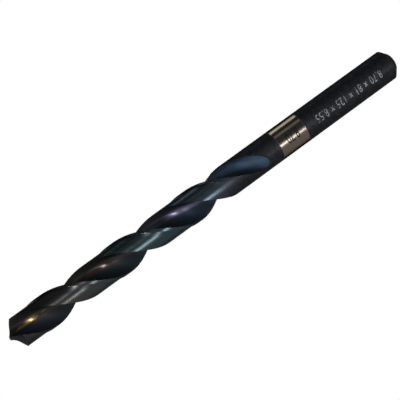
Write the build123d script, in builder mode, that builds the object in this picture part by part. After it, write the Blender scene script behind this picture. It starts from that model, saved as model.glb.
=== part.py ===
from build123d import *
import os
from math import asin, ceil, cos, degrees, pi, radians, sin, sqrt, tan

# A straight-shank twist drill: one bar, turned, fluted on a right-hand helix and point ground.
# It lies along X with the shank end at the origin and the point towards +X.
# Lengths are in millimetres and angles in degrees.

# Driving dimensions: the bar
drill_diameter = 8.7
shank_diameter = 8.55
back_taper = 0.03
overall_length = 125.0
shank_chamfer_length = 1.65
shank_chamfer_depth = 1.7
shoulder_length = 0.5

# Driving dimensions: the two flutes
flute_length = 81.0
flute_runout_length = 16.0
lead = 45.5
web_at_point = 1.08
web_growth_per_mm = 0.022
land_angle_at_point = 79.0
land_angle_growth_per_mm = 0.1
flute_floor_reach = 2.3
heel_reach = 2.3
heel_lean = 22.0

# Driving dimensions: the margins, and the lands ground back behind them
margin_width = 0.85
land_relief_length = 66.5
land_relief_runout_length = 7.0
land_relief_depth = 0.27
land_relief_end_depth = 0.08

# Driving dimensions: the point, ground on two cones
point_angle = 118.0
grind_cone_half_angle = 31.0
grind_reach_per_diameter = 1.23
grind_skew_per_diameter = 0.085
lip_roll = 73.5

# How far the cutters stand clear of the bar, how far a relief cutter reaches into the flute, and
# the turn from one section of a helical cutter to the next
clear = 0.8
relief_overrun_angle = 8.0
section_turn = 30.0

# The turn about its axis at which the finished drill lies still on a table
lay_turn = -30.0

# Derived sizes
drill_radius = drill_diameter / 2
shank_radius = shank_diameter / 2
half_point_angle = point_angle / 2
flute_end_x = overall_length - flute_length
relief_end_x = overall_length - land_relief_length
outer_radius = drill_radius + clear
cutter_front_x = overall_length + 2 * clear


def leading_edge_turn(x):
    """The angle about the axis of the first leading edge at x, on its right-hand helix."""
    return lip_roll + 360 * (x - overall_length) / lead


def transverse_plane(x, turn, lift=0):
    """A plane square to the axis at x, turned about it and then lifted along its own y axis."""
    x_dir = Vector(0, cos(radians(turn)), sin(radians(turn)))
    y_dir = Vector(0, -sin(radians(turn)), cos(radians(turn)))
    return Plane(origin=Vector(x, 0, 0) + y_dir * lift, x_dir=x_dir, z_dir=(1, 0, 0))


def polar(radius, turn):
    """A point in a transverse plane."""
    return Vector(radius * cos(radians(turn)), radius * sin(radians(turn)))


def stations(first_x, last_x):
    """Even steps along the axis, none turning the helix by more than section_turn."""
    count = ceil((first_x - last_x) / (lead * section_turn / 360))
    return [first_x + (last_x - first_x) * step / count for step in range(count + 1)]


def half_web(x):
    """Half the web's thickness, which grows from the point towards the shank."""
    return (web_at_point + web_growth_per_mm * (overall_length - x)) / 2


def land_angle(x):
    """How far a land reaches round the axis, which grows as the flutes get shallower."""
    return land_angle_at_point + land_angle_growth_per_mm * (overall_length - x)


# Past the start of the run-out the fluting wheel lifts off the axis along an arc.
runout_start_x = flute_end_x + flute_runout_length
runout_depth = shank_radius - half_web(flute_end_x)
wheel_radius = (flute_runout_length**2 + runout_depth**2) / (2 * runout_depth)


def wheel_lift(x):
    """How far the fluting wheel has lifted at x."""
    run = max(runout_start_x - x, 0)
    return wheel_radius - sqrt(wheel_radius**2 - run**2)


def rake_turn(radius, web):
    """The rake face's angle at this radius, for a lip that comes out straight."""
    along_lip = sqrt(radius**2 - web**2)
    lag_per_mm = 2 * pi / lead / tan(radians(half_point_angle))
    return degrees(asin(web / radius) + lag_per_mm * along_lip)


def control_points(start, first, second, end):
    """The cubic Bezier that passes through first and second a third and two thirds of the way."""
    near_start = (first * 18 - second * 9 - start * 5 + end * 2) / 6
    near_end = (second * 18 - first * 9 - end * 5 + start * 2) / 6
    return [start, near_start, near_end, end]


# The blank: shank, shoulder up to the drill's diameter, and a body long enough for the point
relief_end_radius = drill_radius - back_taper / 2 * land_relief_length / overall_length
with BuildPart() as drill:
    with BuildSketch(Plane.XY) as half_profile:
        with BuildLine():
            Polyline(
                (0, 0),
                (0, shank_radius - shank_chamfer_depth),
                (shank_chamfer_length, shank_radius),
                (relief_end_x, shank_radius),
                (relief_end_x + shoulder_length, relief_end_radius),
                (overall_length + clear, drill_radius),
                (overall_length + clear, 0),
                close=True,
            )
        make_face()
    revolve(axis=Axis.X)

# One flute's cutter: from a lip down its rake face, over the web and out past the next land's heel
rake_steps = (1.0, 0.64, 0.28)
with BuildPart() as flute_cutter:
    for x in stations(cutter_front_x, flute_end_x - clear):
        web = half_web(x)
        lip_turn = rake_turn(drill_radius, web)
        heel_turn = lip_turn + 180 - land_angle(x)
        rake_radii = [web + (outer_radius - web) * step for step in rake_steps]
        rake = [polar(radius, rake_turn(radius, web)) for radius in rake_radii]
        floor = Vector(0, web)
        heel = polar(drill_radius, heel_turn)
        heel_out = polar(outer_radius, heel_turn)
        rake_controls = control_points(*rake, floor)
        floor_direction = (floor - rake_controls[2]).normalized()
        with BuildSketch(transverse_plane(x, leading_edge_turn(x) - lip_turn, wheel_lift(x))):
            with BuildLine():
                Bezier(rake_controls)
                Bezier(
                    floor,
                    floor + floor_direction * flute_floor_reach,
                    heel - polar(heel_reach, heel_turn - heel_lean),
                    heel,
                )
                Line(heel, heel_out)
                ThreePointArc(heel_out, polar(outer_radius * 1.3, (lip_turn + heel_turn) / 2), rake[0])
            make_face()
    loft()

# The core that relieving the lands leaves, which climbs to the shank over the relief's run-out
relieved_radius = drill_radius - land_relief_depth
with BuildPart() as relieved_core:
    with BuildSketch(Plane.XY) as relieved_profile:
        with BuildLine():
            Polyline(
                (relief_end_x - clear, 0),
                (relief_end_x - clear, shank_radius - land_relief_end_depth),
                (relief_end_x, shank_radius - land_relief_end_depth),
                (relief_end_x + land_relief_runout_length, relieved_radius),
                (cutter_front_x + clear, relieved_radius),
                (cutter_front_x + clear, 0),
                close=True,
            )
        make_face()
    revolve(axis=Axis.X)

# One land's relief cutter: a helical wedge from the back of the margin to past the heel, hollow
# round that core, whose seam is turned away from the wedge's own edges
core_seam_turn = 40.0
margin_angle = degrees(margin_width / drill_radius)
inner_radius = relieved_radius - clear
with BuildPart() as relief_cutter:
    for x in stations(cutter_front_x, relief_end_x):
        relief_stop_angle = land_angle(x) + relief_overrun_angle
        relief_middle_angle = (margin_angle + relief_stop_angle) / 2
        with BuildSketch(transverse_plane(x, leading_edge_turn(x))):
            with BuildLine():
                Line(polar(outer_radius, -margin_angle), polar(inner_radius, -margin_angle))
                ThreePointArc(
                    polar(inner_radius, -margin_angle),
                    polar(inner_radius, -relief_middle_angle),
                    polar(inner_radius, -relief_stop_angle),
                )
                Line(polar(inner_radius, -relief_stop_angle), polar(outer_radius, -relief_stop_angle))
                ThreePointArc(
                    polar(outer_radius, -relief_stop_angle),
                    polar(outer_radius, -relief_middle_angle),
                    polar(outer_radius, -margin_angle),
                )
            make_face()
    loft()
    add(relieved_core.part, rotation=(core_seam_turn, 0, 0), mode=Mode.SUBTRACT)

# The grinding cone of one flank: its ridge runs along the lip, a little ahead of it, and its apex
# lies past the axis on the far side.
grind_reach = grind_reach_per_diameter * drill_diameter
grind_offset = web_at_point / 2 + grind_skew_per_diameter * drill_diameter
grind_lean = half_point_angle - grind_cone_half_angle
grind_cone_height = 2 * overall_length
grind_cone_base = grind_cone_height * tan(radians(grind_cone_half_angle))


def apex_height_above_chisel():
    """How far along the axis the cone's apex stands past the chisel edge."""
    aside = grind_reach * sin(radians(half_point_angle))
    lean_sin = sin(radians(grind_lean))
    lean_cos = cos(radians(grind_lean))
    cone_cos = cos(radians(grind_cone_half_angle))
    square = lean_cos**2 - cone_cos**2
    linear = 2 * aside * lean_sin * lean_cos
    constant = (aside * lean_sin) ** 2 - cone_cos**2 * (aside**2 + grind_offset**2)
    return -2 * constant / (linear + sqrt(linear**2 - 4 * square * constant))


grind_apex_x = overall_length + apex_height_above_chisel()
lip_root_x = grind_apex_x - grind_reach * cos(radians(half_point_angle))
lip_direction = leading_edge_turn(lip_root_x) - rake_turn(drill_radius, web_at_point / 2)

# Both lands, both flutes and both flanks of the point, half a turn apart
with drill:
    for half_turn in (0, 180):
        add(relief_cutter.part, rotation=(half_turn, 0, 0), mode=Mode.SUBTRACT)
    for half_turn in (0, 180):
        add(flute_cutter.part, rotation=(half_turn, 0, 0), mode=Mode.SUBTRACT)
    for half_turn in (0, 180):
        across = transverse_plane(grind_apex_x, lip_direction + half_turn)
        aside = grind_reach * sin(radians(half_point_angle))
        apex = across.from_local_coords((-aside, grind_offset, 0))
        cone_axis = across.z_dir * cos(radians(grind_lean)) - across.x_dir * sin(radians(grind_lean))
        with Locations(Plane(origin=apex, z_dir=cone_axis)):
            Cone(
                grind_cone_base,
                0,
                grind_cone_height,
                align=(Align.CENTER, Align.CENTER, Align.MAX),
                mode=Mode.INTERSECT,
            )

# The finished drill, turned to lie still
with BuildPart() as lying_drill:
    add(drill.part, rotation=(lay_turn, 0, 0))

lying_drill.part.label = "twist_drill"
os.makedirs("parts", exist_ok=True)
export_step(lying_drill.part, "parts/twist_drill.step")
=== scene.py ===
import bpy
import bmesh
from math import cos, pi, radians, sin
from mathutils import Matrix, Vector


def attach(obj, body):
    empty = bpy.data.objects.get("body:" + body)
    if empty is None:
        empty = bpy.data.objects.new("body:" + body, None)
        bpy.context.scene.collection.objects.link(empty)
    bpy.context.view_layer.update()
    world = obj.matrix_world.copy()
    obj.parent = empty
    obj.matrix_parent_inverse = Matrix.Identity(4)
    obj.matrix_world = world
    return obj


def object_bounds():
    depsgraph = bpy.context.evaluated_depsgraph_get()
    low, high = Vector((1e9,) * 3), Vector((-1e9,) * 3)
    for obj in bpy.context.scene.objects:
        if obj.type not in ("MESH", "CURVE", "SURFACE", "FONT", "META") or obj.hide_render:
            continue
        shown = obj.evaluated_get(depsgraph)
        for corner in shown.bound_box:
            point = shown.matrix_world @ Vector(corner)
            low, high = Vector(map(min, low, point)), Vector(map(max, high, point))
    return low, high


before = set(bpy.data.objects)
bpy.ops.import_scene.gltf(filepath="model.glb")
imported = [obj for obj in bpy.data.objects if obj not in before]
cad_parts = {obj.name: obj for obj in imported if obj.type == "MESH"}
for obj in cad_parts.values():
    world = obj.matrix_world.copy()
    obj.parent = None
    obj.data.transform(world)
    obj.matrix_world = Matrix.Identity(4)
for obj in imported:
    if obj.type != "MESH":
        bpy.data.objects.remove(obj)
cad_box = [list(corner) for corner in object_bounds()]

# The view: a long lens looks down at the lying drill from past its point and to one side. The
# drill lies on its margins and its shank, turned about its own axis by lay_turn, and the camera
# and the lamps are turned with it.
lay_turn = radians(-30)
turn_to_lay = Matrix.Rotation(lay_turn, 4, "X")
view_azimuth, view_elevation = radians(50.636), radians(62.4435)
view_distance = 0.430975
looked_at = Vector((0.065037, 0.000068, 0))
toward_camera = Vector(
    (
        cos(view_elevation) * cos(view_azimuth),
        cos(view_elevation) * sin(view_azimuth),
        sin(view_elevation),
    )
)
camera_data = bpy.data.cameras.new("camera")
camera_data.lens = 153.0
camera_data.sensor_width = 36
camera_data.clip_start = 0.01
camera_data.shift_x = -0.00125
camera_data.shift_y = 0.00125
camera = bpy.data.objects.new("camera", camera_data)
camera_place = Matrix.Translation(looked_at + toward_camera * view_distance)
camera_turn = toward_camera.to_track_quat("Z", "Y").to_matrix().to_4x4()
camera.matrix_world = turn_to_lay @ camera_place @ camera_turn
bpy.context.scene.collection.objects.link(camera)
bpy.context.scene.camera = camera
bpy.context.scene.view_settings.view_transform = "Standard"


# The drill: one bar of high-speed steel, fluted, hardened, ground and then blackened in steam.
# Its oxide is near black on the ground shank, thinner and paler on the lands, and shows temper
# colours in the flutes. A short band of the shank is ground bright again after the blackening.
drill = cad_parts["twist_drill"]
mm_per_m = 1000
overall_mm, lead_mm = 125.0, 45.5
drill_radius_mm, shank_radius_mm, relieved_radius_mm = 4.35, 4.275, 4.08
margin_mm, half_web_growth = 0.85, 0.011
lip_roll = radians(73.5)
leading_edge_turn = lip_roll - 2 * pi * overall_mm / lead_mm + lay_turn

# Places along the drill, from the shank end: the chamfer's end, the bright band with its soft
# edges, the flutes' end and their run-out, the lands' relief, and the start of the point
chamfer_end_mm = 1.75
band_start_mm, band_end_mm, band_edge_mm = 31.7, 40.4, 0.3
flute_end_mm = 42.0
runout_start_mm, runout_rough_mm = 60.0, 53.0
land_fade_mm, relief_end_mm, relief_full_mm = 52.5, 58.5, 65.5
point_start_mm = 120.8


def paint(hex_colour):
    """An sRGB hex colour as the linear colour that a node takes."""
    channels = [int(hex_colour[start : start + 2], 16) / 255 for start in (0, 2, 4)]
    return [c / 12.92 if c <= 0.04045 else ((c + 0.055) / 1.055) ** 2.4 for c in channels] + [1]


def empty_material(name):
    """A new material with no nodes yet."""
    material = bpy.data.materials.new(name)
    material.use_nodes = True
    material.node_tree.nodes.clear()
    return material


def node(material, kind, inputs=None, stops=None, **settings):
    """Adds a node with its settings, its ramp's stops, and its inputs linked or set."""
    added = material.node_tree.nodes.new(kind)
    for name, value in settings.items():
        setattr(added, name, value)
    for name, value in (inputs or {}).items():
        if isinstance(value, bpy.types.NodeSocket):
            material.node_tree.links.new(value, added.inputs[name])
        else:
            added.inputs[name].default_value = value
    if stops:
        while len(added.color_ramp.elements) < len(stops):
            added.color_ramp.elements.new(0.5)
        for stop, (position, colour) in zip(added.color_ramp.elements, stops):
            stop.position = position
            stop.color = colour
    return added


# Steam-blackened high-speed steel: a dark metal. The ground shank is satin and neutral, the lands
# are smoother and greyer, and the milled flutes are near black, with bronze at the point, rose and
# violet further up and blue at their run-out, as the oxide is thinner or thicker. The brightest of
# these flute colours are partly painted highlight, laid where the lamps' highlights fall.
# A Mix node's sockets are 2 and 3 for numbers, 4 and 5 for vectors and 6 and 7 for colours.
steel = empty_material("steam_blackened_high_speed_steel")
place = node(steel, "ShaderNodeTexCoord").outputs["Object"]
in_mm = node(
    steel, "ShaderNodeVectorMath", {0: place, "Scale": mm_per_m}, operation="SCALE"
).outputs[0]
along = node(steel, "ShaderNodeSeparateXYZ", {0: in_mm}).outputs["X"]
outward = node(
    steel, "ShaderNodeVectorMath", {0: in_mm, 1: (0, 1, 1)}, operation="MULTIPLY"
).outputs[0]
radius = node(steel, "ShaderNodeVectorMath", {0: outward}, operation="LENGTH").outputs["Value"]
radial = node(steel, "ShaderNodeVectorMath", {0: outward}, operation="NORMALIZE").outputs[0]

# Unwound by its lead the drill's pattern follows the helix. The angle back from a leading edge
# tells a flute's rake side from its heel side, and the margin from the land behind it.
unwind = node(
    steel, "ShaderNodeMath", {0: along, 1: -2 * pi / lead_mm}, operation="MULTIPLY"
).outputs[0]
unwound = node(
    steel, "ShaderNodeVectorRotate", {"Vector": in_mm, "Angle": unwind}, rotation_type="X_AXIS"
).outputs[0]
round_helix = node(steel, "ShaderNodeSeparateXYZ", {0: unwound}).outputs
turn = node(
    steel, "ShaderNodeMath", {0: round_helix["Z"], 1: round_helix["Y"]}, operation="ARCTAN2"
).outputs[0]
behind = node(
    steel, "ShaderNodeMath", {0: leading_edge_turn, 1: turn}, operation="SUBTRACT"
).outputs[0]
behind = node(steel, "ShaderNodeMath", {0: behind, 1: pi, 2: 0}, operation="WRAP").outputs[0]
behind_mm = node(
    steel, "ShaderNodeMath", {0: behind, 1: drill_radius_mm}, operation="MULTIPLY"
).outputs[0]

# Patterns, by how many of each there are in a millimetre: stains of a few millimetres drawn out
# along the flutes, fine mottling, grinding lines round the shank, which are drawn about 0.4 mm
# apart so that they show, and slow waves in the ground lands
stains_per_mm, mottles_per_mm, rings_per_mm, waves_per_mm = 0.42, 1.3, 2.6, 0.3
drawn_out = node(
    steel, "ShaderNodeVectorMath", {0: unwound, 1: (0.35, 1, 1)}, operation="MULTIPLY"
).outputs[0]
stains = node(
    steel, "ShaderNodeTexNoise", {"Vector": drawn_out, "Scale": stains_per_mm, "Detail": 3.0}
).outputs["Fac"]
mottle = node(
    steel,
    "ShaderNodeTexNoise",
    {"Vector": in_mm, "Scale": mottles_per_mm, "Detail": 4.0, "Roughness": 0.6},
).outputs["Fac"]
ringed = node(
    steel, "ShaderNodeVectorMath", {0: in_mm, 1: (1, 0.05, 0.05)}, operation="MULTIPLY"
).outputs[0]
rings = node(
    steel,
    "ShaderNodeTexNoise",
    {"Vector": ringed, "Scale": rings_per_mm, "Detail": 4.0, "Roughness": 0.7},
).outputs["Fac"]
waves = node(
    steel,
    "ShaderNodeTexNoise",
    {"Vector": unwound, "Scale": waves_per_mm, "Detail": 1.0, "Roughness": 0.4},
).outputs["Fac"]

# Where each finish lies: the bright band, the flutes, and the lands out to the point
band_in = node(
    steel,
    "ShaderNodeMapRange",
    {"Value": along, "From Min": band_start_mm, "From Max": band_start_mm + band_edge_mm},
).outputs[0]
band_out = node(
    steel,
    "ShaderNodeMapRange",
    {"Value": along, "From Min": band_end_mm + band_edge_mm, "From Max": band_end_mm},
).outputs[0]
band = node(steel, "ShaderNodeMath", {0: band_in, 1: band_out}, operation="MULTIPLY").outputs[0]
flute_edge_mm, flute_wall_mm = relieved_radius_mm - 0.06, relieved_radius_mm - 0.3
in_flute = node(
    steel,
    "ShaderNodeMapRange",
    {"Value": radius, "From Min": flute_edge_mm, "From Max": flute_wall_mm},
    interpolation_type="SMOOTHSTEP",
).outputs[0]
past_shank = node(
    steel, "ShaderNodeMath", {0: along, 1: flute_end_mm}, operation="GREATER_THAN"
).outputs[0]
in_flute = node(
    steel, "ShaderNodeMath", {0: in_flute, 1: past_shank}, operation="MULTIPLY"
).outputs[0]
on_land = node(
    steel,
    "ShaderNodeMapRange",
    {"Value": along, "From Min": land_fade_mm, "From Max": relief_full_mm},
    interpolation_type="SMOOTHSTEP",
).outputs[0]

# The outside that is ground round: all that lies this far out, between the chamfer and the point
ground_out_mm, land_ground_out_mm = 4.14, relieved_radius_mm - 0.05
ground_out = node(
    steel,
    "ShaderNodeMapRange",
    {
        "Value": along,
        "From Min": relief_end_mm,
        "From Max": relief_full_mm,
        "To Min": ground_out_mm,
        "To Max": land_ground_out_mm,
    },
).outputs[0]
ground_round = node(
    steel, "ShaderNodeMath", {0: radius, 1: ground_out}, operation="GREATER_THAN"
).outputs[0]
past_chamfer = node(
    steel, "ShaderNodeMath", {0: along, 1: chamfer_end_mm}, operation="GREATER_THAN"
).outputs[0]
short_of_point = node(
    steel, "ShaderNodeMath", {0: along, 1: point_start_mm}, operation="LESS_THAN"
).outputs[0]
for limit in (past_chamfer, short_of_point):
    ground_round = node(
        steel, "ShaderNodeMath", {0: ground_round, 1: limit}, operation="MULTIPLY"
    ).outputs[0]

# The oxide's tint changes along the drill, a little unevenly: 0.38 is at the flutes' run-out and
# 0.95 at the point. The flutes have a warmer and a cooler side, which run into each other.
temper_per_mm, temper_unevenness = 0.007, 0.16
along_temper = node(
    steel, "ShaderNodeMath", {0: along, 1: temper_per_mm}, operation="MULTIPLY"
).outputs[0]
temper_place = node(
    steel,
    "ShaderNodeMath",
    {0: stains, 1: temper_unevenness, 2: along_temper},
    operation="MULTIPLY_ADD",
).outputs[0]
warm_side = node(
    steel,
    "ShaderNodeValToRGB",
    {0: temper_place},
    stops=[
        (0.38, paint("465c73")),
        (0.48, paint("232b36")),
        (0.60, paint("26262d")),
        (0.73, paint("262322")),
        (0.83, paint("26241f")),
        (0.89, paint("2b2923")),
    ],
).outputs["Color"]
cool_side = node(
    steel,
    "ShaderNodeValToRGB",
    {0: temper_place},
    stops=[
        (0.38, paint("121316")),
        (0.50, paint("17202b")),
        (0.62, paint("181f26")),
        (0.75, paint("151e20")),
        (0.89, paint("1d1f25")),
    ],
).outputs["Color"]
side_unevenness, all_warm_at, all_cool_at = 1.2, -1.2, 1.9
twice_behind = node(steel, "ShaderNodeMath", {0: behind, 1: 2.0}, operation="MULTIPLY").outputs[0]
across_flute = node(steel, "ShaderNodeMath", {0: twice_behind}, operation="COSINE").outputs[0]
across_flute = node(
    steel,
    "ShaderNodeMath",
    {0: stains, 1: side_unevenness, 2: across_flute},
    operation="MULTIPLY_ADD",
).outputs[0]
to_cool = node(
    steel,
    "ShaderNodeMapRange",
    {"Value": across_flute, "From Min": all_warm_at, "From Max": all_cool_at},
    interpolation_type="SMOOTHSTEP",
).outputs[0]
flute_tint = node(
    steel, "ShaderNodeMix", {0: to_cool, 6: warm_side, 7: cool_side}, data_type="RGBA"
).outputs[2]

# Low in a flute, on the heel side of its floor, the oxide is a smooth film with stronger temper
# colours: blue, violet, rose and gold, each in its own short stretch. These bright stretches are
# partly painted highlight: they are placed and narrowed where the lamps' highlights fall on the
# flute floors in this view, and they lighten the floor there. The web thickens towards the shank
# and lifts the floor, so the film is placed by a level that evens this out: the radius plus what
# the web has thinned since the shank end. The heel side is told by the angle from the edge.
film_and_painted_highlight = node(
    steel,
    "ShaderNodeValToRGB",
    {0: temper_place},
    stops=[
        (0.38, paint("4a647e")),
        (0.48, paint("3a4d63")),
        (0.53, paint("2a323d")),
        (0.59, paint("6a6884")),
        (0.65, paint("2b2c34")),
        (0.70, paint("2a2a2c")),
        (0.755, paint("453733")),
        (0.81, paint("2b2725")),
        (0.893, paint("2c2824")),
        (0.912, paint("93794b")),
        (0.932, paint("2c2924")),
    ],
).outputs["Color"]
film_and_painted_highlight_unevenness, film_and_painted_highlight_top_mm, film_and_painted_highlight_floor_mm = 1.2, 3.9, 2.5
rake_side_turn, heel_side_turn = 2.2, 1.1
level = node(
    steel, "ShaderNodeMath", {0: along, 1: half_web_growth, 2: radius}, operation="MULTIPLY_ADD"
).outputs[0]
level = node(
    steel, "ShaderNodeMath", {0: stains, 1: film_and_painted_highlight_unevenness, 2: level}, operation="MULTIPLY_ADD"
).outputs[0]
near_floor = node(
    steel,
    "ShaderNodeMapRange",
    {"Value": level, "From Min": film_and_painted_highlight_top_mm, "From Max": film_and_painted_highlight_floor_mm},
    interpolation_type="SMOOTHSTEP",
).outputs[0]
heel_side = node(
    steel,
    "ShaderNodeMapRange",
    {"Value": behind, "From Min": rake_side_turn, "From Max": heel_side_turn},
    interpolation_type="SMOOTHSTEP",
).outputs[0]
film_and_painted_highlight_share = node(
    steel, "ShaderNodeMath", {0: near_floor, 1: heel_side}, operation="MULTIPLY"
).outputs[0]
# The film, partly painted highlight where the lamps' highlights fall, is mixed over the flute tint.
flute_tint = node(
    steel, "ShaderNodeMix", {0: film_and_painted_highlight_share, 6: flute_tint, 7: film_and_painted_highlight}, data_type="RGBA"
).outputs[2]

# The tints of the ground shank, of the lands and of the bright band, laid over one another
shank_black = node(
    steel,
    "ShaderNodeValToRGB",
    {0: mottle},
    stops=[(0.36, paint("1c1c1c")), (0.50, paint("1f2022")), (0.64, paint("23272c"))],
).outputs["Color"]
land_grey = node(
    steel,
    "ShaderNodeValToRGB",
    {0: temper_place},
    stops=[
        (0.45, paint("32383f")),
        (0.60, paint("2b353a")),
        (0.71, paint("2c3637")),
        (0.84, paint("333231")),
        (0.91, paint("2a2a2d")),
    ],
).outputs["Color"]
bright_steel = node(
    steel, "ShaderNodeMix", {0: rings, 6: paint("4d4841"), 7: paint("5d574d")}, data_type="RGBA"
).outputs[2]
tint = shank_black
for share, finer in ((on_land, land_grey), (in_flute, flute_tint), (band, bright_steel)):
    tint = node(steel, "ShaderNodeMix", {0: share, 6: tint, 7: finer}, data_type="RGBA").outputs[2]

# Gloss: satin on the shank, smoother on the lands, the band and the film, and as milled elsewhere
# in the flutes, roughest at their run-out. The flutes' oxide is the thickest, so least metallic.
milled_roughness, film_roughness, band_roughness, added_at_runout = 0.50, 0.19, 0.23, 0.1
outside_metallic, flute_metallic, band_metallic = 0.84, 0.62, 1.0
satin = node(
    steel, "ShaderNodeMapRange", {"Value": rings, "To Min": 0.44, "To Max": 0.54}
).outputs[0]
land_gloss = node(
    steel, "ShaderNodeMapRange", {"Value": stains, "To Min": 0.20, "To Max": 0.35}
).outputs[0]
milled = node(
    steel, "ShaderNodeMix", {0: film_and_painted_highlight_share, 2: milled_roughness, 3: film_roughness}
).outputs[0]
runout = node(
    steel,
    "ShaderNodeMapRange",
    {
        "Value": along,
        "From Min": runout_start_mm,
        "From Max": runout_rough_mm,
        "To Max": added_at_runout,
    },
).outputs[0]
milled = node(steel, "ShaderNodeMath", {0: milled, 1: runout}, operation="ADD").outputs[0]
roughness = satin
for share, gloss in ((on_land, land_gloss), (in_flute, milled), (band, band_roughness)):
    roughness = node(steel, "ShaderNodeMix", {0: share, 2: roughness, 3: gloss}).outputs[0]
metallic = outside_metallic
for share, metal in ((in_flute, flute_metallic), (band, band_metallic)):
    metallic = node(steel, "ShaderNodeMix", {0: share, 2: metallic, 3: metal}).outputs[0]

# Form too fine for the solid: the grinding is true to the drill's round, the shank has its grinding
# lines, the relieved land curls up to the margin, and the land waves a little along the helix.
curl_width_mm, curl_height, ring_height, height_unit = 1.6, 2.0, 0.03, 0.00005
true_normal = node(steel, "ShaderNodeNewGeometry").outputs["Normal"]
round_normal = node(
    steel, "ShaderNodeMix", {0: ground_round, 4: true_normal, 5: radial}, data_type="VECTOR"
).outputs[1]
curl = node(
    steel,
    "ShaderNodeMapRange",
    {"Value": behind_mm, "From Min": margin_mm + curl_width_mm, "From Max": margin_mm},
).outputs[0]
curl = node(steel, "ShaderNodeMath", {0: curl, 1: 2.0}, operation="POWER").outputs[0]
behind_margin = node(
    steel, "ShaderNodeMath", {0: behind_mm, 1: margin_mm}, operation="GREATER_THAN"
).outputs[0]
curl = node(steel, "ShaderNodeMath", {0: curl, 1: behind_margin}, operation="MULTIPLY").outputs[0]
land_form = node(
    steel, "ShaderNodeMath", {0: curl, 1: curl_height, 2: waves}, operation="MULTIPLY_ADD"
).outputs[0]
shank_form = node(
    steel, "ShaderNodeMath", {0: rings, 1: ring_height}, operation="MULTIPLY"
).outputs[0]
fine_form = node(steel, "ShaderNodeMix", {0: on_land, 2: shank_form, 3: land_form}).outputs[0]
bump = node(
    steel,
    "ShaderNodeBump",
    {"Strength": 1.0, "Distance": height_unit, "Height": fine_form, "Normal": round_normal},
).outputs["Normal"]
surface = node(
    steel,
    "ShaderNodeBsdfPrincipled",
    {
        "Base Color": tint,
        "Metallic": metallic,
        "Roughness": roughness,
        "Specular IOR Level": 0.3,
        "Specular Tint": paint("5c5e62"),
        "Normal": bump,
    },
).outputs["BSDF"]
node(steel, "ShaderNodeOutputMaterial", {"Surface": surface})
drill.data.materials.clear()
drill.data.materials.append(steel)


# The size marks: plain numbers, etched through the oxide along the shank and stamped round the
# bright band. Each is a thin inlay bent round the shank, a hundredth of a millimetre proud.
proud_mm, lift_mm = 0.01, 0.002
figure_share_of_size = 0.73
cut_step_mm, cuts_each_way = 0.25, 60


def bent_number(name, text, height_mm, spacing, middle_mm, squeeze, middle_turn, finish):
    """A number made flat, cut into small faces, squeezed along the shank and bent round it."""
    letters = bpy.data.curves.new(name, "FONT")
    letters.body = text
    letters.size = height_mm / figure_share_of_size
    letters.space_character = spacing
    letters.align_x = "CENTER"
    letters.align_y = "CENTER"
    letters.resolution_u = 4
    letters.extrude = proud_mm
    flat_text = bpy.data.objects.new(name, letters)
    bpy.context.scene.collection.objects.link(flat_text)
    mesh = bpy.data.meshes.new_from_object(flat_text)
    bpy.data.objects.remove(flat_text)
    form = bmesh.new()
    form.from_mesh(mesh)
    bmesh.ops.remove_doubles(form, verts=form.verts, dist=0.0001)
    for cut in range(-cuts_each_way, cuts_each_way + 1):
        for facing in (Vector((1, 0, 0)), Vector((0, 1, 0))):
            bmesh.ops.bisect_plane(
                form,
                geom=form.verts[:] + form.edges[:] + form.faces[:],
                dist=0.00001,
                plane_co=facing * cut * cut_step_mm,
                plane_no=facing,
            )
    for vert in form.verts:
        along_mm = middle_mm + squeeze * vert.co.x
        turn_round = middle_turn - vert.co.y / shank_radius_mm
        reach = shank_radius_mm + lift_mm + vert.co.z
        bent = Vector((along_mm, reach * cos(turn_round), reach * sin(turn_round)))
        vert.co = bent / mm_per_m
    bmesh.ops.recalc_face_normals(form, faces=form.faces)
    form.to_mesh(mesh)
    form.free()
    mesh.materials.clear()
    mesh.materials.append(finish)
    number = bpy.data.objects.new(name, mesh)
    bpy.context.scene.collection.objects.link(number)
    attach(number, "root")


def patchy_finish(name, patches_per_mm, dark, light, surface_inputs):
    """A matt finish of small uneven patches between two tones."""
    finish = empty_material(name)
    place = node(finish, "ShaderNodeTexCoord").outputs["Object"]
    patches = node(
        finish,
        "ShaderNodeTexNoise",
        {"Vector": place, "Scale": patches_per_mm * mm_per_m, "Detail": 3.0},
    ).outputs["Fac"]
    tone = node(
        finish,
        "ShaderNodeValToRGB",
        {0: patches},
        stops=[(0.35, paint(dark)), (0.65, paint(light))],
    ).outputs["Color"]
    surface = node(
        finish, "ShaderNodeBsdfPrincipled", {"Base Color": tone, **surface_inputs}
    ).outputs["BSDF"]
    node(finish, "ShaderNodeOutputMaterial", {"Surface": surface})
    return finish


# Etched steel: the acid takes the oxide off and leaves a pale, matt, slightly patchy grey.
etched = patchy_finish(
    "etched_steel",
    patches_per_mm=1.0,
    dark="34373a",
    light="7c7f83",
    surface_inputs={"Metallic": 0.6, "Roughness": 0.55},
)
bent_number(
    "etched_size",
    "8.70 × 81 × 125 × 8.55",
    height_mm=2.4,
    spacing=1.1,
    middle_mm=17.0,
    squeeze=0.66,
    middle_turn=radians(58) + lay_turn,
    finish=etched,
)

# Stained stamping: the oxide and oil left in the sunk figures look brown-black on the bright band.
stained = patchy_finish(
    "stained_stamping",
    patches_per_mm=1.5,
    dark="050404",
    light="12100d",
    surface_inputs={"Metallic": 0.0, "Roughness": 0.7, "Specular IOR Level": 0.1},
)
bent_number(
    "stamped_size",
    "8.70",
    height_mm=3.0,
    spacing=1.0,
    middle_mm=36.1,
    squeeze=0.58,
    middle_turn=radians(64) + lay_turn,
    finish=stained,
)


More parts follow.
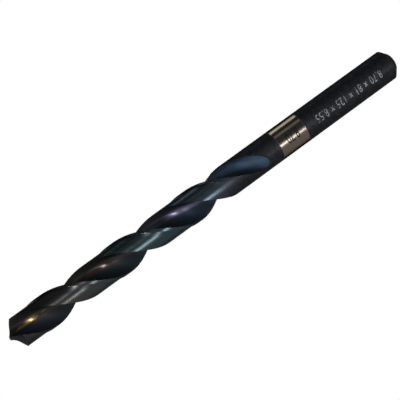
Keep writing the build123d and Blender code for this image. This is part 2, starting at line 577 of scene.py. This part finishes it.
# The studio: a large sheet of white paper under the drill, which camera and metal see as pure
# white, and dim pale surroundings. The side softbox and lamp light the shank and the lands, the
# top softbox the flutes, and two weak cards stand at the far side, one low and one high.
floor_size = 1.5
floor_mesh = bpy.data.meshes.new("floor")
floor = bpy.data.objects.new("floor", floor_mesh)
bpy.context.scene.collection.objects.link(floor)
floor_form = bmesh.new()
bmesh.ops.create_grid(floor_form, x_segments=1, y_segments=1, size=floor_size)
bmesh.ops.translate(floor_form, verts=floor_form.verts, vec=(0, 0, cad_box[0][2]))
floor_form.to_mesh(floor_mesh)
floor_form.free()
sheet = empty_material("white_paper_sheet")
matt = node(sheet, "ShaderNodeBsdfDiffuse", {"Color": paint("e8e8e8")}).outputs["BSDF"]
white = node(
    sheet, "ShaderNodeEmission", {"Color": paint("ffffff"), "Strength": 1.0}
).outputs["Emission"]
rays = node(sheet, "ShaderNodeLightPath").outputs
seen = rays["Is Camera Ray"]
for ray in (rays["Is Glossy Ray"], rays["Is Transmission Ray"]):
    seen = node(sheet, "ShaderNodeMath", {0: seen, 1: ray}, operation="MAXIMUM").outputs[0]
cover = node(sheet, "ShaderNodeMixShader", {0: seen, 1: matt, 2: white}).outputs["Shader"]
node(sheet, "ShaderNodeOutputMaterial", {"Surface": cover})
floor_mesh.materials.append(sheet)

world = bpy.data.worlds.new("studio")
bpy.context.scene.world = world
world.use_nodes = True
surroundings = world.node_tree.nodes["Background"].inputs
surroundings["Color"].default_value = paint("c8ccd4")
surroundings["Strength"].default_value = 0.15


def lamp(name, direction, distance, size, power):
    """A soft lamp that faces the middle of the drill from this direction, before the lay turn."""
    data = bpy.data.lights.new(name, "AREA")
    data.shape = "RECTANGLE"
    data.size, data.size_y = size
    data.energy = power
    softbox = bpy.data.objects.new(name, data)
    toward = (turn_to_lay.to_3x3() @ Vector(direction)).normalized()
    middle = Vector((overall_mm / 2 / mm_per_m, 0, 0))
    softbox.location = middle + toward * distance
    softbox.rotation_euler = toward.to_track_quat("Z", "Y").to_euler()
    bpy.context.scene.collection.objects.link(softbox)


lamp("side_softbox", (-0.27, 0.62, 0.74), 0.6, (0.24, 0.24), 0.12)
lamp("side_lamp", (-0.27, 0.70, 0.66), 0.6, (0.16, 0.12), 1.7)
lamp("top_softbox", (0.08, 0.12, 0.985), 0.6, (0.06, 0.06), 2.0)
lamp("back_card", (-0.39, -0.91, 0.17), 0.61, (0.09, 0.24), 0.45)
lamp("ceiling_card", (-0.392, -0.423, 0.816), 0.61, (0.16, 0.14), 0.09)
